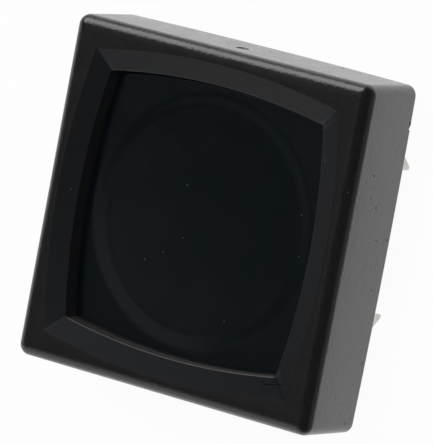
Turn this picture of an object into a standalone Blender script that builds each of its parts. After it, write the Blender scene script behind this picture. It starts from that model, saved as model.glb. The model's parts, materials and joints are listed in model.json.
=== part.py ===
"""Low-profile pushbutton switch for a printed circuit board.

A square moulded frame holds a dished button in a barrel-shaped well. Pressing the button carries two contact
bridges down onto four fixed contacts, whose terminals leave the base as flat solder pins. A conical spring
lifts the button again, and the frame's lip stops it.

Everything is in metres. Z points out of the button's face, Z = 0 is the plane of the circuit board, and the
origin is the middle of the frame on that plane. X runs along the contact bridges.
"""

import math

import bmesh
import bpy
from mathutils import Matrix, Vector

MM = 0.001

# Frame; its depth is the sum of what lies inside it, worked out below
FRAME_SIDE = 24.0 * MM
FRAME_DRAFT = 0.15 * MM  # how much further out each side is at the back than at the front
FRAME_WALL = 1.0 * MM
FRAME_CORNER_RADIUS = 0.75 * MM
FRONT_CORNER_RADIUS = 0.1 * MM  # the same corners, where the front edge has turned over
FRAME_EDGE_RADIUS = 0.9 * MM
FRAME_EDGE_SEGMENTS = 5

# Well in the frame's front: a barrel outline with a sloping border around it
WELL_MARGIN = 3.45 * MM  # from the frame's side to the well's corner
WELL_BULGE = 0.8 * MM  # how far the middle of each side of the well bows out
SLOPE_WIDTH = 1.25 * MM  # width of the sloping border at its mitred corners
SLOPE_BULGE = 1.0 * MM
SLOPE_DROP = 0.45 * MM
WELL_DEPTH = 1.5 * MM  # from the frame's front to the button's rim
ARC_STEPS = 8

# Mould gate on the frame's upper side
GATE_RADIUS = 0.5 * MM
GATE_DEPTH = 0.12 * MM
GATE_BELOW_FRONT = 2.6 * MM

# Button
CAP_THICKNESS = 0.9 * MM
CAP_EDGE = 0.15 * MM
CAP_CLEARANCE = 0.15 * MM
DISH_MARGIN = 0.55 * MM  # flat rim left between the dish and the middle of the well's side
DISH_RIM_WIDTH = 1.25 * MM
DISH_RIM_DROP = 0.16 * MM
DISH_DROP = 0.2 * MM
DISH_STEPS = 48
DISH_RINGS = 4  # in its rim, and as many in its bowl
PEG_RADIUS = 0.7 * MM
PEG_INSET = 1.4 * MM  # from the cap's corner to the middle of its peg
PEG_CLEARANCE = 0.15 * MM
PEG_END_GAP = 0.1 * MM

# Plunger under the cap
PLUNGER_THICKNESS = 1.05 * MM
PLUNGER_SKIN = 0.45 * MM  # left above its pockets
PLUNGER_CLEARANCE = 0.2 * MM
GUIDE_WIDTH = 1.7 * MM
GUIDE_CLEARANCE = 0.2 * MM
POST_RADIUS = 0.45 * MM
POST_HEAD_RADIUS = 0.85 * MM
POST_HEAD_HEIGHT = 0.3 * MM
TRAVEL = 0.9 * MM

# Base
BASE_THICKNESS = 1.0 * MM
BASE_CLEARANCE = 0.15 * MM
SPRING_SEAT_DEPTH = 0.2 * MM
GUIDE_FLOOR = 0.3 * MM
CHANNEL_FLOOR = 0.4 * MM
CHANNEL_CLEARANCE = 0.15 * MM
HEAD_CLEARANCE = 0.3 * MM
LUG_X = 5.0 * MM
LUG_WIDTH = 2.0 * MM
LUG_REACH = 0.35 * MM
LUG_HEIGHT = 0.4 * MM
LUG_BOTTOM = 0.35 * MM
LUG_CLEARANCE = 0.15 * MM
LEDGE_LENGTH = 3.0 * MM
LEDGE_REACH = 0.7 * MM

# Terminals: a strip that lies in the base and turns down into a solder pin
STRIP_THICKNESS = 0.4 * MM
STRIP_WIDTH = 1.1 * MM
STRIP_BEND_RADIUS = 0.2 * MM
PIN_INSET = 1.84 * MM  # from the frame's side to the middle of the pin
PIN_LENGTH = 3.6 * MM  # below the board plane
PIN_TIP_WIDTH = 0.25 * MM  # the flat end that the slanting cut leaves
PIN_TIP_HEIGHT = 1.05 * MM
ROW_Y = {"upper": 6.4 * MM, "lower": -4.65 * MM}
SIDE_X = {"left": -1.0, "right": 1.0}

# Contacts
CONTACT_X = 4.2 * MM
CONTACT_RADIUS = 0.5 * MM
CONTACT_EDGE = 0.12 * MM  # how far a contact's crowned face falls to its rounded edge
FIXED_CONTACT_HEIGHT = 0.25 * MM
MOVING_CONTACT_HEIGHT = 0.2 * MM
CLOSED_GAP = 0.05 * MM  # left between the contacts when the button is pressed home
BRIDGE_SHARE = 0.5  # of the button's travel that its bridges make with it
CONTACT_STEPS = 24
CROWN_RINGS = 3
STRIP_OVERHANG = 0.9 * MM  # of a strip or bridge past the middle of its contact
BRIDGE_THICKNESS = 0.2 * MM
BRIDGE_WIDTH = 1.5 * MM
BRIDGE_CORNER = 0.3 * MM
BRIDGE_HOLE_CLEARANCE = 0.15 * MM
BRIDGE_POCKET_CLEARANCE = 0.25 * MM
LEAF_THICKNESS = 0.12 * MM
LEAF_LENGTH = 6.4 * MM
LEAF_WIDTH = 1.3 * MM
LEAF_STEPS = 12

# Return spring
SPRING_WIRE = 0.3 * MM
SPRING_BOTTOM_RADIUS = 3.0 * MM
SPRING_TOP_RADIUS = 1.6 * MM
SPRING_TURNS = 3.5
SPRING_FLAT_TURNS = 0.75
SPRING_POINTS_PER_TURN = 20
SPRING_POCKET_CLEARANCE = 0.25 * MM

# Gaps between pieces that rest on each other
SEAT_GAP = 0.15 * MM
STACK_GAP = 0.1 * MM

# Building aids
OVERCUT = 1.0 * MM  # how far a cutter runs past the face it opens
BITE = 0.3 * MM  # how far joined shapes run into each other
MERGE = 0.001 * MM  # points closer than this are one point
SHARP_ANGLE = math.radians(25.0)  # edges that turn by more than this stay sharp
JOINT_MARK = 2.0 * MM

# Heights from the board up, at rest: each piece stands on the one before it
BRIDGE_TRAVEL = BRIDGE_SHARE * TRAVEL
LEAF_HEIGHT = TRAVEL - BRIDGE_TRAVEL + STACK_GAP
STRIP_BOTTOM = CHANNEL_FLOOR + STACK_GAP
STRIP_TOP = STRIP_BOTTOM + STRIP_THICKNESS
FIXED_CONTACT_BOTTOM = STRIP_TOP + STACK_GAP
MOVING_CONTACT_BOTTOM = FIXED_CONTACT_BOTTOM + FIXED_CONTACT_HEIGHT + CLOSED_GAP + BRIDGE_TRAVEL
BRIDGE_BOTTOM = MOVING_CONTACT_BOTTOM + MOVING_CONTACT_HEIGHT + STACK_GAP
BRIDGE_TOP = BRIDGE_BOTTOM + BRIDGE_THICKNESS
LEAF_BOTTOM = BRIDGE_TOP + STACK_GAP
POCKET_TOP = LEAF_BOTTOM + LEAF_HEIGHT + STACK_GAP
PLUNGER_TOP = POCKET_TOP + PLUNGER_SKIN
PLUNGER_BOTTOM = PLUNGER_TOP - PLUNGER_THICKNESS
LIP_BOTTOM = PLUNGER_TOP + SEAT_GAP
CAP_BOTTOM = PLUNGER_TOP + SEAT_GAP
CAP_TOP = CAP_BOTTOM + CAP_THICKNESS
FRAME_DEPTH = CAP_TOP + WELL_DEPTH

# Heights set by how far the pressed button comes down
GUIDE_BOTTOM = GUIDE_FLOOR + STACK_GAP + TRAVEL
LEDGE_BOTTOM = BASE_THICKNESS + SEAT_GAP
LEDGE_TOP = PLUNGER_BOTTOM - TRAVEL - STACK_GAP
POST_HEAD_TOP = BRIDGE_BOTTOM - STACK_GAP
POST_HEAD_BOTTOM = POST_HEAD_TOP - POST_HEAD_HEIGHT
HEAD_POCKET_FLOOR = POST_HEAD_BOTTOM - TRAVEL - SEAT_GAP
SPRING_SEAT = BASE_THICKNESS - SPRING_SEAT_DEPTH

# Places across the frame, from its middle
HALF_SIDE = FRAME_SIDE / 2
INNER_HALF = HALF_SIDE - FRAME_WALL
WELL_HALF = HALF_SIDE - WELL_MARGIN
CAP_HALF = WELL_HALF - CAP_CLEARANCE
BASE_HALF = INNER_HALF - BASE_CLEARANCE
PLUNGER_HALF = INNER_HALF - PLUNGER_CLEARANCE
PEG_X = CAP_HALF - PEG_INSET
PIN_X = HALF_SIDE - PIN_INSET
STRIP_END_X = CONTACT_X - STRIP_OVERHANG
BRIDGE_END_X = CONTACT_X + STRIP_OVERHANG
BRIDGE_HOLE_RADIUS = POST_RADIUS + BRIDGE_HOLE_CLEARANCE
SPRING_POCKET_RADIUS = SPRING_BOTTOM_RADIUS + SPRING_WIRE / 2 + SPRING_POCKET_CLEARANCE

# Stands a drawing plane up, so that its second axis becomes Z
UPRIGHT = Matrix.Rotation(math.pi / 2, 4, "X")

for leftover in list(bpy.data.objects):
    bpy.data.objects.remove(leftover, do_unlink=True)

PARTS = bpy.data.collections.new("pushbutton_switch")
CUTTERS = bpy.data.collections.new("cutters")
CUTTERS.hide_render = True
for collection in (PARTS, CUTTERS):
    bpy.context.scene.collection.children.link(collection)


def new_material(name, colour, roughness, metallic=0.0):
    material = bpy.data.materials.new(name)
    material.use_nodes = True
    shader = material.node_tree.nodes["Principled BSDF"]
    shader.inputs["Base Color"].default_value = (*colour, 1.0)
    shader.inputs["Roughness"].default_value = roughness
    shader.inputs["Metallic"].default_value = metallic
    return material


FRAME_PLASTIC = new_material("frame_plastic", (0.012, 0.012, 0.013), 0.4)
CAP_PLASTIC = new_material("cap_plastic", (0.006, 0.009, 0.012), 0.2)
PLUNGER_PLASTIC = new_material("plunger_plastic", (0.75, 0.75, 0.72), 0.5)
BASE_PLASTIC = new_material("base_plastic", (0.015, 0.015, 0.016), 0.5)
TINNED_BRASS = new_material("tinned_brass", (0.62, 0.61, 0.58), 0.35, 1.0)
SILVER = new_material("contact_silver", (0.85, 0.84, 0.8), 0.25, 1.0)
SPRING_BRONZE = new_material("spring_bronze", (0.72, 0.48, 0.26), 0.3, 1.0)
SPRING_STEEL = new_material("spring_steel", (0.55, 0.55, 0.56), 0.3, 1.0)


def add_object(name, data, material=None):
    """An object in the parts, or among the cutters where it has no material."""
    thing = bpy.data.objects.new(name, data)
    if material is None:
        CUTTERS.objects.link(thing)
        thing.hide_render = True
        thing.display_type = "WIRE"
    else:
        PARTS.objects.link(thing)
        data.materials.append(material)
    return thing


def mesh_from(bm, name):
    """Turns a bmesh into a mesh with its faces pointing out."""
    bmesh.ops.recalc_face_normals(bm, faces=bm.faces[:])
    mesh = bpy.data.meshes.new(name)
    bm.to_mesh(mesh)
    bm.free()
    return mesh


def shade_round(thing):
    thing.data.shade_smooth()
    thing.data.set_sharp_from_angle(angle=SHARP_ANGLE)


def box(name, low, high, material=None):
    """A box between two corners, with its origin in its middle."""
    low, high = Vector(low), Vector(high)
    bm = bmesh.new()
    bmesh.ops.create_cube(bm, size=1.0)
    bmesh.ops.scale(bm, vec=high - low, verts=bm.verts[:])
    thing = add_object(name, mesh_from(bm, name), material)
    thing.location = (low + high) / 2
    return thing


def cylinder(name, radius, bottom, top, x=0.0, y=0.0, segments=CONTACT_STEPS):
    """An upright cylinder for cutting or joining, with its origin in its middle."""
    bm = bmesh.new()
    bmesh.ops.create_cone(
        bm, cap_ends=True, segments=segments, radius1=radius, radius2=radius, depth=top - bottom
    )
    thing = add_object(name, mesh_from(bm, name))
    thing.location = (x, y, (bottom + top) / 2)
    return thing


def turned(name, profile, steps, material=None):
    """A shape turned about Z from (radius, height) points that run down its outer side."""
    mesh = bpy.data.meshes.new(name)
    edges = [(i, i + 1) for i in range(len(profile) - 1)]
    mesh.from_pydata([(radius, 0.0, height) for radius, height in profile], edges, [])
    thing = add_object(name, mesh, material)
    screw = thing.modifiers.new("turn", "SCREW")
    screw.steps = steps
    screw.render_steps = steps
    screw.use_merge_vertices = True
    screw.merge_threshold = MERGE
    return thing


def flat(name, outlines, thickness, placement, material=None):
    """A plate from closed outlines, drawn in a plane that placement puts in the part."""
    curve = bpy.data.curves.new(name, "CURVE")
    curve.dimensions = "2D"
    curve.fill_mode = "BOTH"
    curve.extrude = thickness / 2
    for outline in outlines:
        spline = curve.splines.new("POLY")
        spline.points.add(len(outline) - 1)
        for point, (u, v) in zip(spline.points, outline):
            point.co = (u, v, 0.0, 1.0)
        spline.use_cyclic_u = True
    drawn = bpy.data.objects.new(name, curve)
    CUTTERS.objects.link(drawn)
    graph = bpy.context.evaluated_depsgraph_get()
    bm = bmesh.new()
    bm.from_mesh(bpy.data.meshes.new_from_object(drawn.evaluated_get(graph)))
    bpy.data.objects.remove(drawn, do_unlink=True)
    bmesh.ops.remove_doubles(bm, verts=bm.verts[:], dist=MERGE)
    thing = add_object(name, mesh_from(bm, name), material)
    thing.matrix_world = placement
    return thing


def loft(name, sections, material=None):
    """A solid through closed sections that all have the same number of points."""
    bm = bmesh.new()
    rings = [[bm.verts.new(point) for point in section] for section in sections]
    for ring, following in zip(rings, rings[1:]):
        for i in range(len(ring)):
            j = (i + 1) % len(ring)
            bm.faces.new((ring[i], ring[j], following[j], following[i]))
    bm.faces.new(rings[0])
    bm.faces.new(rings[-1])
    return add_object(name, mesh_from(bm, name), material)


def combine(thing, tool, operation="DIFFERENCE"):
    boolean = thing.modifiers.new(tool.name, "BOOLEAN")
    boolean.operation = operation
    boolean.object = tool


def rounded_rectangle(half_u, half_v, radius, steps=4):
    """Anticlockwise points of a rectangle about the origin with round corners."""
    points = []
    for quarter, (su, sv) in enumerate(((1, 1), (-1, 1), (-1, -1), (1, -1))):
        for step in range(steps + 1):
            angle = (quarter + step / steps) * math.pi / 2
            u = su * (half_u - radius) + radius * math.cos(angle)
            v = sv * (half_v - radius) + radius * math.sin(angle)
            points.append((u, v))
    return points


def circle(radius, steps=CONTACT_STEPS):
    turn = 2 * math.pi / steps
    return [(radius * math.cos(i * turn), radius * math.sin(i * turn)) for i in range(steps)]


def barrel(half, bulge, height):
    """Points of a square at this height whose corners are at half and whose sides bow out by bulge."""
    radius = (half * half + bulge * bulge) / (2 * bulge)
    reach = math.asin(half / radius)
    points = []
    for side in range(4):
        turn = Matrix.Rotation(side * math.pi / 2, 3, "Z")
        for step in range(ARC_STEPS):
            angle = reach * (2 * step / ARC_STEPS - 1)
            out = half + bulge - radius * (1 - math.cos(angle))
            points.append(turn @ Vector((out, radius * math.sin(angle), height)))
    return points


def corners():
    """The signs of the four corners."""
    return [(sx, sy) for sx in (-1, 1) for sy in (-1, 1)]


def frame_half(height):
    """Half the frame's side at this height, up to where its front edge turns over."""
    return HALF_SIDE - FRAME_DRAFT * height / FRAME_DEPTH


def build_frame():
    edge_bottom = FRAME_DEPTH - FRAME_EDGE_RADIUS
    sections = [(HALF_SIDE, FRAME_CORNER_RADIUS, 0.0)]
    for step in range(FRAME_EDGE_SEGMENTS + 1):
        angle = math.pi / 2 * step / FRAME_EDGE_SEGMENTS
        half = frame_half(edge_bottom) - FRAME_EDGE_RADIUS * (1 - math.cos(angle))
        radius = FRONT_CORNER_RADIUS + (FRAME_CORNER_RADIUS - FRONT_CORNER_RADIUS) * math.cos(angle)
        height = edge_bottom + FRAME_EDGE_RADIUS * math.sin(angle)
        sections.append((half, radius, height))
    outlines = [
        [(x, y, height) for x, y in rounded_rectangle(half, half, radius, FRAME_EDGE_SEGMENTS)]
        for half, radius, height in sections
    ]
    frame = loft("bezel_frame", outlines, FRAME_PLASTIC)

    slope_half = WELL_HALF + SLOPE_WIDTH
    slope_bottom = FRAME_DEPTH - SLOPE_DROP
    well = loft(
        "well_cutter",
        [
            barrel(slope_half, SLOPE_BULGE, FRAME_DEPTH + OVERCUT),
            barrel(slope_half, SLOPE_BULGE, FRAME_DEPTH),
            barrel(WELL_HALF, WELL_BULGE, slope_bottom),
            barrel(WELL_HALF, WELL_BULGE, LIP_BOTTOM - OVERCUT),
        ],
    )
    combine(frame, well)
    cavity = box(
        "cavity_cutter", (-INNER_HALF, -INNER_HALF, -OVERCUT), (INNER_HALF, INNER_HALF, LIP_BOTTOM)
    )
    combine(frame, cavity)

    gate_height = FRAME_DEPTH - GATE_BELOW_FRONT
    gate = cylinder("gate_cutter", GATE_RADIUS, -GATE_DEPTH, GATE_DEPTH)
    gate.rotation_euler.x = math.pi / 2
    gate.location = (0.0, frame_half(gate_height), gate_height)
    combine(frame, gate)

    pocket_half = LUG_WIDTH / 2 + LUG_CLEARANCE
    pocket_reach = BASE_HALF + LUG_REACH + LUG_CLEARANCE
    pocket_z = (LUG_BOTTOM - LUG_CLEARANCE, LUG_BOTTOM + LUG_HEIGHT + LUG_CLEARANCE)
    for sx, sy in corners():
        near, far = sorted((sy * (INNER_HALF - OVERCUT), sy * pocket_reach))
        pocket = box(
            "lug_pocket_cutter",
            (sx * LUG_X - pocket_half, near, pocket_z[0]),
            (sx * LUG_X + pocket_half, far, pocket_z[1]),
        )
        combine(frame, pocket)

    for side in range(4):
        ledge = box(
            "ledge",
            (INNER_HALF - LEDGE_REACH, -LEDGE_LENGTH / 2, LEDGE_BOTTOM),
            (INNER_HALF + BITE, LEDGE_LENGTH / 2, LEDGE_TOP),
        )
        turn = Matrix.Rotation(side * math.pi / 2, 4, "Z")
        ledge.matrix_world = turn @ Matrix.Translation(ledge.location)
        combine(frame, ledge, "UNION")
    shade_round(frame)
    return frame


def dish_height(radius, dish_radius):
    """Height of the dish's surface below the rim: a soft step down at its edge, then a shallow bowl."""
    inner = dish_radius - DISH_RIM_WIDTH
    across = min(max((dish_radius - radius) / DISH_RIM_WIDTH, 0.0), 1.0)
    step = across * across * (3 - 2 * across)
    bowl = 1 - (radius / inner) ** 2 if radius < inner else 0.0
    return -DISH_RIM_DROP * step - DISH_DROP * bowl


def build_cap():
    cap = loft(
        "button_cap",
        [
            barrel(CAP_HALF, WELL_BULGE, CAP_BOTTOM),
            barrel(CAP_HALF, WELL_BULGE, CAP_TOP - CAP_EDGE),
            barrel(CAP_HALF - CAP_EDGE, WELL_BULGE, CAP_TOP),
        ],
        CAP_PLASTIC,
    )
    dish_radius = WELL_HALF + WELL_BULGE - DISH_MARGIN
    inner = dish_radius - DISH_RIM_WIDTH
    radii = [dish_radius - DISH_RIM_WIDTH * i / DISH_RINGS for i in range(DISH_RINGS)]
    radii += [inner * (1 - i / DISH_RINGS) for i in range(DISH_RINGS + 1)]
    surface = [(radius, dish_height(radius, dish_radius)) for radius in radii]
    outer = dish_radius + DISH_RIM_WIDTH
    lid = [(0.0, OVERCUT), (outer, OVERCUT), (outer, DISH_RIM_DROP)]
    dish = turned("dish_cutter", lid + surface, DISH_STEPS)
    dish.location.z = CAP_TOP
    combine(cap, dish)
    peg_bottom = PLUNGER_BOTTOM + PEG_END_GAP
    peg_top = CAP_BOTTOM + BITE
    for sx, sy in corners():
        peg = cylinder("cap_peg", PEG_RADIUS, peg_bottom, peg_top, sx * PEG_X, sy * PEG_X)
        combine(cap, peg, "UNION")
    shade_round(cap)
    return cap


def build_plunger():
    plunger = box(
        "button_plunger",
        (-PLUNGER_HALF, -PLUNGER_HALF, PLUNGER_BOTTOM),
        (PLUNGER_HALF, PLUNGER_HALF, PLUNGER_TOP),
        PLUNGER_PLASTIC,
    )
    spring_pocket = cylinder(
        "spring_pocket_cutter",
        SPRING_POCKET_RADIUS,
        PLUNGER_BOTTOM - OVERCUT,
        POCKET_TOP,
        segments=DISH_STEPS,
    )
    combine(plunger, spring_pocket)

    for sx, sy in corners():
        hole = cylinder(
            "peg_hole_cutter",
            PEG_RADIUS + PEG_CLEARANCE,
            PLUNGER_BOTTOM - OVERCUT,
            PLUNGER_TOP + OVERCUT,
            sx * PEG_X,
            sy * PEG_X,
        )
        combine(plunger, hole)
        x_range = sorted((sx * PLUNGER_HALF, sx * (PLUNGER_HALF - GUIDE_WIDTH)))
        y_range = sorted((sy * PLUNGER_HALF, sy * (PLUNGER_HALF - GUIDE_WIDTH)))
        guide = box(
            "guide_leg",
            (x_range[0], y_range[0], GUIDE_BOTTOM),
            (x_range[1], y_range[1], PLUNGER_BOTTOM + BITE),
        )
        combine(plunger, guide, "UNION")

    half_length = BRIDGE_END_X + BRIDGE_POCKET_CLEARANCE
    half_width = BRIDGE_WIDTH / 2 + BRIDGE_POCKET_CLEARANCE
    for row_y in ROW_Y.values():
        pocket = box(
            "bridge_pocket_cutter",
            (-half_length, row_y - half_width, PLUNGER_BOTTOM - OVERCUT),
            (half_length, row_y + half_width, POCKET_TOP),
        )
        combine(plunger, pocket)
        profile = [
            (0.0, POCKET_TOP + BITE),
            (POST_RADIUS, POCKET_TOP + BITE),
            (POST_RADIUS, POST_HEAD_TOP),
            (POST_HEAD_RADIUS, POST_HEAD_TOP),
            (POST_HEAD_RADIUS, (POST_HEAD_TOP + POST_HEAD_BOTTOM) / 2),
            (POST_RADIUS, POST_HEAD_BOTTOM),
            (0.0, POST_HEAD_BOTTOM),
        ]
        post = turned("bridge_post", profile, CONTACT_STEPS)
        post.location.y = row_y
        combine(plunger, post, "UNION")
    shade_round(plunger)
    return plunger


def build_base():
    base = box(
        "base_plate", (-BASE_HALF, -BASE_HALF, 0.0), (BASE_HALF, BASE_HALF, BASE_THICKNESS), BASE_PLASTIC
    )
    seat = cylinder(
        "spring_seat_cutter",
        SPRING_POCKET_RADIUS,
        SPRING_SEAT,
        BASE_THICKNESS + OVERCUT,
        segments=DISH_STEPS,
    )
    combine(base, seat)

    guide_inner = PLUNGER_HALF - GUIDE_WIDTH - GUIDE_CLEARANCE
    for sx, sy in corners():
        x_range = sorted((sx * guide_inner, sx * (BASE_HALF + OVERCUT)))
        y_range = sorted((sy * guide_inner, sy * (BASE_HALF + OVERCUT)))
        corner = box(
            "guide_pocket_cutter",
            (x_range[0], y_range[0], GUIDE_FLOOR),
            (x_range[1], y_range[1], BASE_THICKNESS + OVERCUT),
        )
        combine(base, corner)
        near, far = sorted((sy * (BASE_HALF - BITE), sy * (BASE_HALF + LUG_REACH)))
        lug = box(
            "snap_lug",
            (sx * LUG_X - LUG_WIDTH / 2, near, LUG_BOTTOM),
            (sx * LUG_X + LUG_WIDTH / 2, far, LUG_BOTTOM + LUG_HEIGHT),
        )
        combine(base, lug, "UNION")

    half_channel = STRIP_WIDTH / 2 + CHANNEL_CLEARANCE
    half_slot = STRIP_THICKNESS / 2 + CHANNEL_CLEARANCE
    channel_start = STRIP_END_X - CHANNEL_CLEARANCE
    for row_y in ROW_Y.values():
        head_pocket = cylinder(
            "head_pocket_cutter",
            POST_HEAD_RADIUS + HEAD_CLEARANCE,
            HEAD_POCKET_FLOOR,
            BASE_THICKNESS + OVERCUT,
            y=row_y,
        )
        combine(base, head_pocket)
        for side_x in SIDE_X.values():
            for low_z, inner_x in ((CHANNEL_FLOOR, channel_start), (-OVERCUT, PIN_X - half_slot)):
                x_range = sorted((side_x * inner_x, side_x * (PIN_X + half_slot)))
                cutter = box(
                    "channel_cutter",
                    (x_range[0], row_y - half_channel, low_z),
                    (x_range[1], row_y + half_channel, BASE_THICKNESS + OVERCUT),
                )
                combine(base, cutter)
    shade_round(base)
    return base


def arc(centre_u, centre_v, radius, first, last, steps=4):
    """Points of an arc between two angles in degrees."""
    angles = [math.radians(first + (last - first) * i / steps) for i in range(steps + 1)]
    return [(centre_u + radius * math.cos(a), centre_v + radius * math.sin(a)) for a in angles]


def build_terminal(row, side):
    """A strip seen from the side as an L, cut to the pin's outline as seen from its broad face."""
    name = f"terminal_{row}_{side}"
    sign, row_y = SIDE_X[side], ROW_Y[row]
    pin_inner = PIN_X - STRIP_THICKNESS / 2
    pin_outer = PIN_X + STRIP_THICKNESS / 2
    bend_x = pin_inner - STRIP_BEND_RADIUS
    bend_z = STRIP_BOTTOM - STRIP_BEND_RADIUS
    side_view = [(STRIP_END_X, STRIP_TOP), (STRIP_END_X, STRIP_BOTTOM)]
    side_view += arc(bend_x, bend_z, STRIP_BEND_RADIUS, 90, 0)
    side_view += [(pin_inner, -PIN_LENGTH), (pin_outer, -PIN_LENGTH)]
    side_view += arc(bend_x, bend_z, STRIP_BEND_RADIUS + STRIP_THICKNESS, 0, 90)
    outline = [(sign * x, z) for x, z in side_view]
    place = Matrix.Translation((0.0, row_y, 0.0)) @ UPRIGHT
    terminal = flat(name, [outline], STRIP_WIDTH, place, TINNED_BRASS)

    half = STRIP_WIDTH / 2
    outward = math.copysign(1.0, row_y)
    face_view = [(-half, STRIP_TOP + OVERCUT), (-half, -PIN_LENGTH)]
    face_view += [(PIN_TIP_WIDTH - half, -PIN_LENGTH), (half, PIN_TIP_HEIGHT - PIN_LENGTH)]
    face_view += [(half, STRIP_TOP + OVERCUT)]
    face = [(outward * y, z) for y, z in face_view]
    place = Matrix.Translation((sign * PIN_X / 2, row_y, 0.0)) @ Matrix.Rotation(math.pi / 2, 4, "Z")
    mask = flat(name + "_outline", [face], PIN_X + OVERCUT, place @ UPRIGHT)
    combine(terminal, mask, "INTERSECT")
    return terminal


def build_contact(name, height, place, faces_up):
    """A contact button whose underside is at place: a disc with one crowned face, which looks up or down."""
    shares = [i / CROWN_RINGS for i in range(CROWN_RINGS + 1)]
    profile = [(CONTACT_RADIUS * share, height - CONTACT_EDGE * share**2) for share in shares]
    profile += [(CONTACT_RADIUS, 0.0), (0.0, 0.0)]
    contact = turned(name, profile, CONTACT_STEPS, SILVER)
    contact.location = place
    if not faces_up:
        contact.rotation_euler.x = math.pi
        contact.location.z += height
    return contact


def build_bridge(row):
    outline = rounded_rectangle(BRIDGE_END_X, BRIDGE_WIDTH / 2, BRIDGE_CORNER)
    place = Matrix.Translation((0.0, ROW_Y[row], (BRIDGE_BOTTOM + BRIDGE_TOP) / 2))
    return flat(
        f"contact_bridge_{row}",
        [outline, circle(BRIDGE_HOLE_RADIUS)],
        BRIDGE_THICKNESS,
        place,
        SPRING_BRONZE,
    )


def build_leaf(row):
    """A bowed leaf that stands on the bridge with its two ends and meets the plunger with its middle."""
    rise = LEAF_HEIGHT - LEAF_THICKNESS
    xs = [LEAF_LENGTH * (i / LEAF_STEPS - 0.5) for i in range(LEAF_STEPS + 1)]
    lower = [(x, LEAF_BOTTOM + rise * math.cos(math.pi * x / LEAF_LENGTH) ** 2) for x in xs]
    upper = [(x, z + LEAF_THICKNESS) for x, z in reversed(lower)]
    place = Matrix.Translation((0.0, ROW_Y[row], 0.0)) @ UPRIGHT
    leaf = flat(f"contact_spring_{row}", [lower + upper], LEAF_WIDTH, place, SPRING_STEEL)
    hole = cylinder(
        "leaf_hole_cutter", BRIDGE_HOLE_RADIUS, LEAF_BOTTOM - OVERCUT, POCKET_TOP + OVERCUT, y=ROW_Y[row]
    )
    combine(leaf, hole)
    shade_round(leaf)
    return leaf


def build_return_spring():
    """A conical coil whose first and last turns lie flat."""
    low = SPRING_SEAT + STACK_GAP + SPRING_WIRE / 2
    high = POCKET_TOP - STACK_GAP - SPRING_WIRE / 2
    count = round(SPRING_TURNS * SPRING_POINTS_PER_TURN)
    curve = bpy.data.curves.new("return_spring", "CURVE")
    curve.dimensions = "3D"
    curve.bevel_depth = SPRING_WIRE / 2
    curve.bevel_resolution = 2
    curve.use_fill_caps = True
    spline = curve.splines.new("POLY")
    spline.points.add(count)
    for i, point in enumerate(spline.points):
        turns = SPRING_TURNS * i / count
        climb = (turns - SPRING_FLAT_TURNS) / (SPRING_TURNS - 2 * SPRING_FLAT_TURNS)
        climb = min(max(climb, 0.0), 1.0)
        climb = climb * climb * (3 - 2 * climb)
        radius = SPRING_BOTTOM_RADIUS + (SPRING_TOP_RADIUS - SPRING_BOTTOM_RADIUS) * turns / SPRING_TURNS
        angle = 2 * math.pi * turns
        point.co = (radius * math.cos(angle), radius * math.sin(angle), low + (high - low) * climb, 1.0)
    return add_object("return_spring", curve, SPRING_STEEL)


def joint_empty(name, location, parent=None):
    """An empty on a joint's axis, which carries the pieces that the joint moves."""
    empty = bpy.data.objects.new(name, None)
    PARTS.objects.link(empty)
    empty.empty_display_size = JOINT_MARK
    empty.location = location
    carry(parent, empty)
    return empty


def carry(parent, *pieces):
    if parent is None:
        return
    bpy.context.view_layer.update()
    for piece in pieces:
        piece.parent = parent
        piece.matrix_parent_inverse = parent.matrix_world.inverted()


def build():
    build_frame()
    build_base()
    build_return_spring()
    press = joint_empty("button_press", (0.0, 0.0, CAP_TOP))
    carry(press, build_cap(), build_plunger())
    for row, row_y in ROW_Y.items():
        lift = joint_empty(f"bridge_{row}_lift", (0.0, row_y, BRIDGE_BOTTOM), press)
        carry(press, build_leaf(row))
        carry(lift, build_bridge(row))
        for side, sign in SIDE_X.items():
            x = sign * CONTACT_X
            build_terminal(row, side)
            place = (x, row_y, FIXED_CONTACT_BOTTOM)
            build_contact(f"fixed_contact_{row}_{side}", FIXED_CONTACT_HEIGHT, place, faces_up=True)
            place = (x, row_y, MOVING_CONTACT_BOTTOM)
            moving = build_contact(
                f"moving_contact_{row}_{side}", MOVING_CONTACT_HEIGHT, place, faces_up=False
            )
            carry(lift, moving)


build()
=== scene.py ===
"""Looks of the low-profile pushbutton switch.

The CAD model gives the sizes, the places and the motion. This script puts finer meshes in place of its plain
solids and gives each piece its finish. Sizes are in metres, and Z points out of the button's face.
"""

import json
import math

import bmesh
import bpy
from mathutils import Matrix, Vector


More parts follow.
